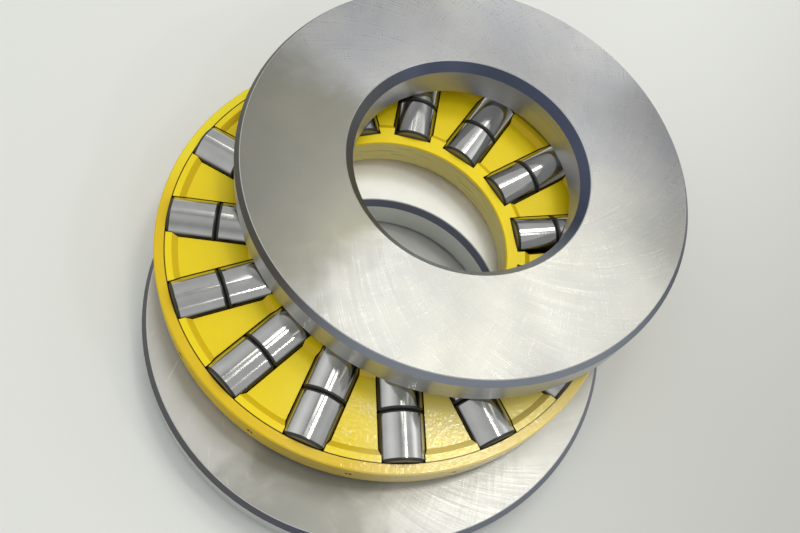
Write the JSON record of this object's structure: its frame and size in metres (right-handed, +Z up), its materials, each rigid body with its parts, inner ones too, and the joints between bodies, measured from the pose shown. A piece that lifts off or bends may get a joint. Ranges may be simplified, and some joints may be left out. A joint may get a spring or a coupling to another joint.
{
  "type": "cylindrical roller thrust bearing",
  "caption": "Thrust bearing laid out as a fan: flat housing washer, brass cage of short cylindrical rollers in radial pockets, and flat shaft washer on top.",
  "frame": {"origin": "middle of the footprint of the laid-out bearing, on the surface that the housing washer lies on", "axes": "+Z up along the axes of washers and cage, from the housing washer to the shaft washer; +Y the way the fan spreads; +X to the right"},
  "size_m": [0.3288, 0.3884, 0.09],
  "materials": {
    "washer_steel": "ground faces with fine scratches, dark unground bevels",
    "cage_brass": "turned brass, satin, with a film of oil",
    "pin_brass": "dull drawn brass, darkened at the end",
    "roller_steel": "finely ground and polished hardened steel"
  },
  "bodies": {
    "housing": {"housing_washer": "washer_steel"},
    "cage": {"cage_body": "cage_brass", "cage_ring": "cage_brass", "cage_pins": "pin_brass"},
    "shaft_side": {"shaft_washer": "washer_steel"},
    "roller_inner_01": {"roller_inner_01": "roller_steel"},
    "roller_inner_02": {"roller_inner_02": "roller_steel"},
    "roller_inner_03": {"roller_inner_03": "roller_steel"},
    "roller_inner_04": {"roller_inner_04": "roller_steel"},
    "roller_inner_05": {"roller_inner_05": "roller_steel"},
    "roller_inner_06": {"roller_inner_06": "roller_steel"},
    "roller_inner_07": {"roller_inner_07": "roller_steel"},
    "roller_inner_08": {"roller_inner_08": "roller_steel"},
    "roller_inner_09": {"roller_inner_09": "roller_steel"},
    "roller_inner_10": {"roller_inner_10": "roller_steel"},
    "roller_inner_11": {"roller_inner_11": "roller_steel"},
    "roller_inner_12": {"roller_inner_12": "roller_steel"},
    "roller_inner_13": {"roller_inner_13": "roller_steel"},
    "roller_inner_14": {"roller_inner_14": "roller_steel"},
    "roller_inner_15": {"roller_inner_15": "roller_steel"},
    "roller_outer_01": {"roller_outer_01": "roller_steel"},
    "roller_outer_02": {"roller_outer_02": "roller_steel"},
    "roller_outer_03": {"roller_outer_03": "roller_steel"},
    "roller_outer_04": {"roller_outer_04": "roller_steel"},
    "roller_outer_05": {"roller_outer_05": "roller_steel"},
    "roller_outer_06": {"roller_outer_06": "roller_steel"},
    "roller_outer_07": {"roller_outer_07": "roller_steel"},
    "roller_outer_08": {"roller_outer_08": "roller_steel"},
    "roller_outer_09": {"roller_outer_09": "roller_steel"},
    "roller_outer_10": {"roller_outer_10": "roller_steel"},
    "roller_outer_11": {"roller_outer_11": "roller_steel"},
    "roller_outer_12": {"roller_outer_12": "roller_steel"},
    "roller_outer_13": {"roller_outer_13": "roller_steel"},
    "roller_outer_14": {"roller_outer_14": "roller_steel"},
    "roller_outer_15": {"roller_outer_15": "roller_steel"}
  },
  "joints": [
    {"name": "shaft_washer_turn", "type": "hinge", "parent": "housing", "child": "shaft_side", "pos_m": [0.01585, 0.0457, 0.0755], "axis": [0, 0, 1], "continuous": true},
    {"name": "cage_turn", "type": "hinge", "parent": "housing", "child": "cage", "pos_m": [-0.01565, -0.0086, 0.045], "axis": [0, 0, 1], "continuous": true},
    {"name": "roller_inner_01_spin", "type": "hinge", "parent": "cage", "child": "roller_inner_01", "pos_m": [0.08155, -0.0086, 0.045], "axis": [1, 0, 0], "continuous": true},
    {"name": "roller_inner_02_spin", "type": "hinge", "parent": "cage", "child": "roller_inner_02", "pos_m": [0.07315, 0.03094, 0.045], "axis": [0.9135, 0.4067, 0], "continuous": true},
    {"name": "roller_inner_03_spin", "type": "hinge", "parent": "cage", "child": "roller_inner_03", "pos_m": [0.04939, 0.06363, 0.045], "axis": [0.6691, 0.7431, 0], "continuous": true},
    {"name": "roller_inner_04_spin", "type": "hinge", "parent": "cage", "child": "roller_inner_04", "pos_m": [0.01439, 0.08384, 0.045], "axis": [0.309, 0.9511, 0], "continuous": true},
    {"name": "roller_inner_05_spin", "type": "hinge", "parent": "cage", "child": "roller_inner_05", "pos_m": [-0.02581, 0.08807, 0.045], "axis": [-0.1045, 0.9945, 0], "continuous": true},
    {"name": "roller_inner_06_spin", "type": "hinge", "parent": "cage", "child": "roller_inner_06", "pos_m": [-0.06425, 0.07558, 0.045], "axis": [-0.5, 0.866, 0], "continuous": true},
    {"name": "roller_inner_07_spin", "type": "hinge", "parent": "cage", "child": "roller_inner_07", "pos_m": [-0.09429, 0.04853, 0.045], "axis": [-0.809, 0.5878, 0], "continuous": true},
    {"name": "roller_inner_08_spin", "type": "hinge", "parent": "cage", "child": "roller_inner_08", "pos_m": [-0.11073, 0.01161, 0.045], "axis": [-0.9781, 0.2079, 0], "continuous": true},
    {"name": "roller_inner_09_spin", "type": "hinge", "parent": "cage", "child": "roller_inner_09", "pos_m": [-0.11073, -0.02881, 0.045], "axis": [-0.9781, -0.2079, 0], "continuous": true},
    {"name": "roller_inner_10_spin", "type": "hinge", "parent": "cage", "child": "roller_inner_10", "pos_m": [-0.09429, -0.06573, 0.045], "axis": [-0.809, -0.5878, 0], "continuous": true},
    {"name": "roller_inner_11_spin", "type": "hinge", "parent": "cage", "child": "roller_inner_11", "pos_m": [-0.06425, -0.09278, 0.045], "axis": [-0.5, -0.866, 0], "continuous": true},
    {"name": "roller_inner_12_spin", "type": "hinge", "parent": "cage", "child": "roller_inner_12", "pos_m": [-0.02581, -0.10527, 0.045], "axis": [-0.1045, -0.9945, 0], "continuous": true},
    {"name": "roller_inner_13_spin", "type": "hinge", "parent": "cage", "child": "roller_inner_13", "pos_m": [0.01439, -0.10104, 0.045], "axis": [0.309, -0.9511, 0], "continuous": true},
    {"name": "roller_inner_14_spin", "type": "hinge", "parent": "cage", "child": "roller_inner_14", "pos_m": [0.04939, -0.08083, 0.045], "axis": [0.6691, -0.7431, 0], "continuous": true},
    {"name": "roller_inner_15_spin", "type": "hinge", "parent": "cage", "child": "roller_inner_15", "pos_m": [0.07315, -0.04813, 0.045], "axis": [0.9135, -0.4067, 0], "continuous": true},
    {"name": "roller_outer_01_spin", "type": "hinge", "parent": "cage", "child": "roller_outer_01", "pos_m": [0.11085, -0.0086, 0.045], "axis": [1, 0, 0], "continuous": true},
    {"name": "roller_outer_02_spin", "type": "hinge", "parent": "cage", "child": "roller_outer_02", "pos_m": [0.09991, 0.04285, 0.045], "axis": [0.9135, 0.4067, 0], "continuous": true},
    {"name": "roller_outer_03_spin", "type": "hinge", "parent": "cage", "child": "roller_outer_03", "pos_m": [0.069, 0.08541, 0.045], "axis": [0.6691, 0.7431, 0], "continuous": true},
    {"name": "roller_outer_04_spin", "type": "hinge", "parent": "cage", "child": "roller_outer_04", "pos_m": [0.02344, 0.11171, 0.045], "axis": [0.309, 0.9511, 0], "continuous": true},
    {"name": "roller_outer_05_spin", "type": "hinge", "parent": "cage", "child": "roller_outer_05", "pos_m": [-0.02887, 0.11721, 0.045], "axis": [-0.1045, 0.9945, 0], "continuous": true},
    {"name": "roller_outer_06_spin", "type": "hinge", "parent": "cage", "child": "roller_outer_06", "pos_m": [-0.0789, 0.10095, 0.045], "axis": [-0.5, 0.866, 0], "continuous": true},
    {"name": "roller_outer_07_spin", "type": "hinge", "parent": "cage", "child": "roller_outer_07", "pos_m": [-0.11799, 0.06575, 0.045], "axis": [-0.809, 0.5878, 0], "continuous": true},
    {"name": "roller_outer_08_spin", "type": "hinge", "parent": "cage", "child": "roller_outer_08", "pos_m": [-0.13939, 0.0177, 0.045], "axis": [-0.9781, 0.2079, 0], "continuous": true},
    {"name": "roller_outer_09_spin", "type": "hinge", "parent": "cage", "child": "roller_outer_09", "pos_m": [-0.13939, -0.0349, 0.045], "axis": [-0.9781, -0.2079, 0], "continuous": true},
    {"name": "roller_outer_10_spin", "type": "hinge", "parent": "cage", "child": "roller_outer_10", "pos_m": [-0.11799, -0.08296, 0.045], "axis": [-0.809, -0.5878, 0], "continuous": true},
    {"name": "roller_outer_11_spin", "type": "hinge", "parent": "cage", "child": "roller_outer_11", "pos_m": [-0.0789, -0.11815, 0.045], "axis": [-0.5, -0.866, 0], "continuous": true},
    {"name": "roller_outer_12_spin", "type": "hinge", "parent": "cage", "child": "roller_outer_12", "pos_m": [-0.02887, -0.13441, 0.045], "axis": [-0.1045, -0.9945, 0], "continuous": true},
    {"name": "roller_outer_13_spin", "type": "hinge", "parent": "cage", "child": "roller_outer_13", "pos_m": [0.02344, -0.12891, 0.045], "axis": [0.309, -0.9511, 0], "continuous": true},
    {"name": "roller_outer_14_spin", "type": "hinge", "parent": "cage", "child": "roller_outer_14", "pos_m": [0.069, -0.10261, 0.045], "axis": [0.6691, -0.7431, 0], "continuous": true},
    {"name": "roller_outer_15_spin", "type": "hinge", "parent": "cage", "child": "roller_outer_15", "pos_m": [0.09991, -0.06005, 0.045], "axis": [0.9135, -0.4067, 0], "continuous": true}
  ],
  "couplings": [
    {"joint": "cage_turn", "follows": "shaft_washer_turn", "ratio": 0.5},
    {"joint": "roller_inner_01_spin", "follows": "shaft_washer_turn", "ratio": -3.0662},
    {"joint": "roller_inner_02_spin", "follows": "shaft_washer_turn", "ratio": -3.0662},
    {"joint": "roller_inner_03_spin", "follows": "shaft_washer_turn", "ratio": -3.0662},
    {"joint": "roller_inner_04_spin", "follows": "shaft_washer_turn", "ratio": -3.0662},
    {"joint": "roller_inner_05_spin", "follows": "shaft_washer_turn", "ratio": -3.0662},
    {"joint": "roller_inner_06_spin", "follows": "shaft_washer_turn", "ratio": -3.0662},
    {"joint": "roller_inner_07_spin", "follows": "shaft_washer_turn", "ratio": -3.0662},
    {"joint": "roller_inner_08_spin", "follows": "shaft_washer_turn", "ratio": -3.0662},
    {"joint": "roller_inner_09_spin", "follows": "shaft_washer_turn", "ratio": -3.0662},
    {"joint": "roller_inner_10_spin", "follows": "shaft_washer_turn", "ratio": -3.0662},
    {"joint": "roller_inner_11_spin", "follows": "shaft_washer_turn", "ratio": -3.0662},
    {"joint": "roller_inner_12_spin", "follows": "shaft_washer_turn", "ratio": -3.0662},
    {"joint": "roller_inner_13_spin", "follows": "shaft_washer_turn", "ratio": -3.0662},
    {"joint": "roller_inner_14_spin", "follows": "shaft_washer_turn", "ratio": -3.0662},
    {"joint": "roller_inner_15_spin", "follows": "shaft_washer_turn", "ratio": -3.0662},
    {"joint": "roller_outer_01_spin", "follows": "shaft_washer_turn", "ratio": -3.9905},
    {"joint": "roller_outer_02_spin", "follows": "shaft_washer_turn", "ratio": -3.9905},
    {"joint": "roller_outer_03_spin", "follows": "shaft_washer_turn", "ratio": -3.9905},
    {"joint": "roller_outer_04_spin", "follows": "shaft_washer_turn", "ratio": -3.9905},
    {"joint": "roller_outer_05_spin", "follows": "shaft_washer_turn", "ratio": -3.9905},
    {"joint": "roller_outer_06_spin", "follows": "shaft_washer_turn", "ratio": -3.9905},
    {"joint": "roller_outer_07_spin", "follows": "shaft_washer_turn", "ratio": -3.9905},
    {"joint": "roller_outer_08_spin", "follows": "shaft_washer_turn", "ratio": -3.9905},
    {"joint": "roller_outer_09_spin", "follows": "shaft_washer_turn", "ratio": -3.9905},
    {"joint": "roller_outer_10_spin", "follows": "shaft_washer_turn", "ratio": -3.9905},
    {"joint": "roller_outer_11_spin", "follows": "shaft_washer_turn", "ratio": -3.9905},
    {"joint": "roller_outer_12_spin", "follows": "shaft_washer_turn", "ratio": -3.9905},
    {"joint": "roller_outer_13_spin", "follows": "shaft_washer_turn", "ratio": -3.9905},
    {"joint": "roller_outer_14_spin", "follows": "shaft_washer_turn", "ratio": -3.9905},
    {"joint": "roller_outer_15_spin", "follows": "shaft_washer_turn", "ratio": -3.9905}
  ]
}
